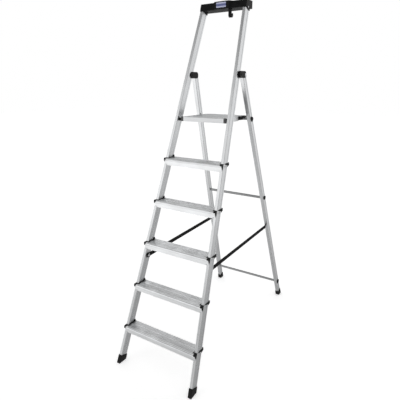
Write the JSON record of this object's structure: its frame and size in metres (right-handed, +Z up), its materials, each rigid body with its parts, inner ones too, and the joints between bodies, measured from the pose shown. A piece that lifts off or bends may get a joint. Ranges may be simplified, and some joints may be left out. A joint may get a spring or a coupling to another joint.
{
  "type": "folding step ladder",
  "caption": "Freestanding aluminium step ladder with deep ribbed treads, hinged standing platform, tool tray with bucket hook and folding strap-stayed rear frame.",
  "frame": {"origin": "middle of the footprint, on the floor, when the ladder stands open", "axes": "+X across the ladder to the right as the climber faces it, -Y towards the climber, +Z up"},
  "size_m": [0.5314, 1.2428, 1.969],
  "materials": {
    "aluminium_profile": "satin anodised extrusion",
    "aluminium_tread": "ribbed mill-finish extrusion",
    "aluminium_tube": "drawn tube",
    "steel_fastener": "zinc-plated steel",
    "stud_dark": "black ring with metal stud",
    "plastic_black": "moulded, fine grain",
    "rubber_foot": "moulded non-slip rubber",
    "badge_face": "blank printed plate",
    "webbing": "woven polyester webbing"
  },
  "bodies": {
    "front_frame": {"stile_left": "aluminium_profile", "stile_right": "aluminium_profile", "tread_1": "aluminium_tread", "tread_2": "aluminium_tread", "tread_3": "aluminium_tread", "tread_4": "aluminium_tread", "tread_5": "aluminium_tread", "tread_cap_1_left": "plastic_black", "tread_cap_1_right": "plastic_black", "tread_cap_2_left": "plastic_black", "tread_cap_2_right": "plastic_black", "tread_cap_3_left": "plastic_black", "tread_cap_3_right": "plastic_black", "tread_cap_4_left": "plastic_black", "tread_cap_4_right": "plastic_black", "tread_cap_5_left": "plastic_black", "tread_cap_5_right": "plastic_black", "tread_rivets": "steel_fastener", "foot_front_left": "rubber_foot", "foot_front_right": "rubber_foot", "tool_tray": "plastic_black", "tray_badge": "badge_face", "tray_screws": "steel_fastener", "bucket_hook": "plastic_black", "hinge_bracket_left": "plastic_black", "hinge_bracket_right": "plastic_black", "hinge_pin_left": "steel_fastener", "hinge_pin_right": "steel_fastener", "strap_studs_front": "stud_dark", "strap_left": "webbing", "strap_right": "webbing", "platform_pivot_left": "plastic_black", "platform_pivot_right": "plastic_black"},
    "rear_frame": {"strap_studs_rear": "stud_dark", "rear_leg_left": "aluminium_profile", "rear_leg_right": "aluminium_profile", "crossbar_lower": "aluminium_tube", "crossbar_upper": "aluminium_tube", "crossbar_platform": "aluminium_tube", "crossbar_plugs_left": "plastic_black", "crossbar_plugs_right": "plastic_black", "foot_rear_left": "rubber_foot", "foot_rear_right": "rubber_foot"},
    "platform": {"platform_front": "aluminium_tread", "platform_middle": "aluminium_tread", "platform_back": "aluminium_tread", "platform_rail_left": "aluminium_tread", "platform_rail_right": "aluminium_tread", "platform_hook_left": "plastic_black", "platform_hook_right": "plastic_black", "platform_end_left": "plastic_black", "platform_end_right": "plastic_black", "platform_rivets": "steel_fastener"}
  },
  "joints": [
    {"name": "rear_fold", "type": "hinge", "parent": "front_frame", "child": "rear_frame", "pos_m": [0, 0.06461, 1.584], "axis": [-1, 0, 0], "range_deg": [0, 39.2], "deforming": ["strap_left", "strap_right"]},
    {"name": "platform_fold", "type": "hinge", "parent": "front_frame", "child": "platform", "pos_m": [0, -0.0912, 1.343], "axis": [1, 0, 0], "range_deg": [0, 69.5]}
  ],
  "couplings": [
    {"joint": "platform_fold", "follows": "rear_fold", "ratio": 1.7725}
  ]
}
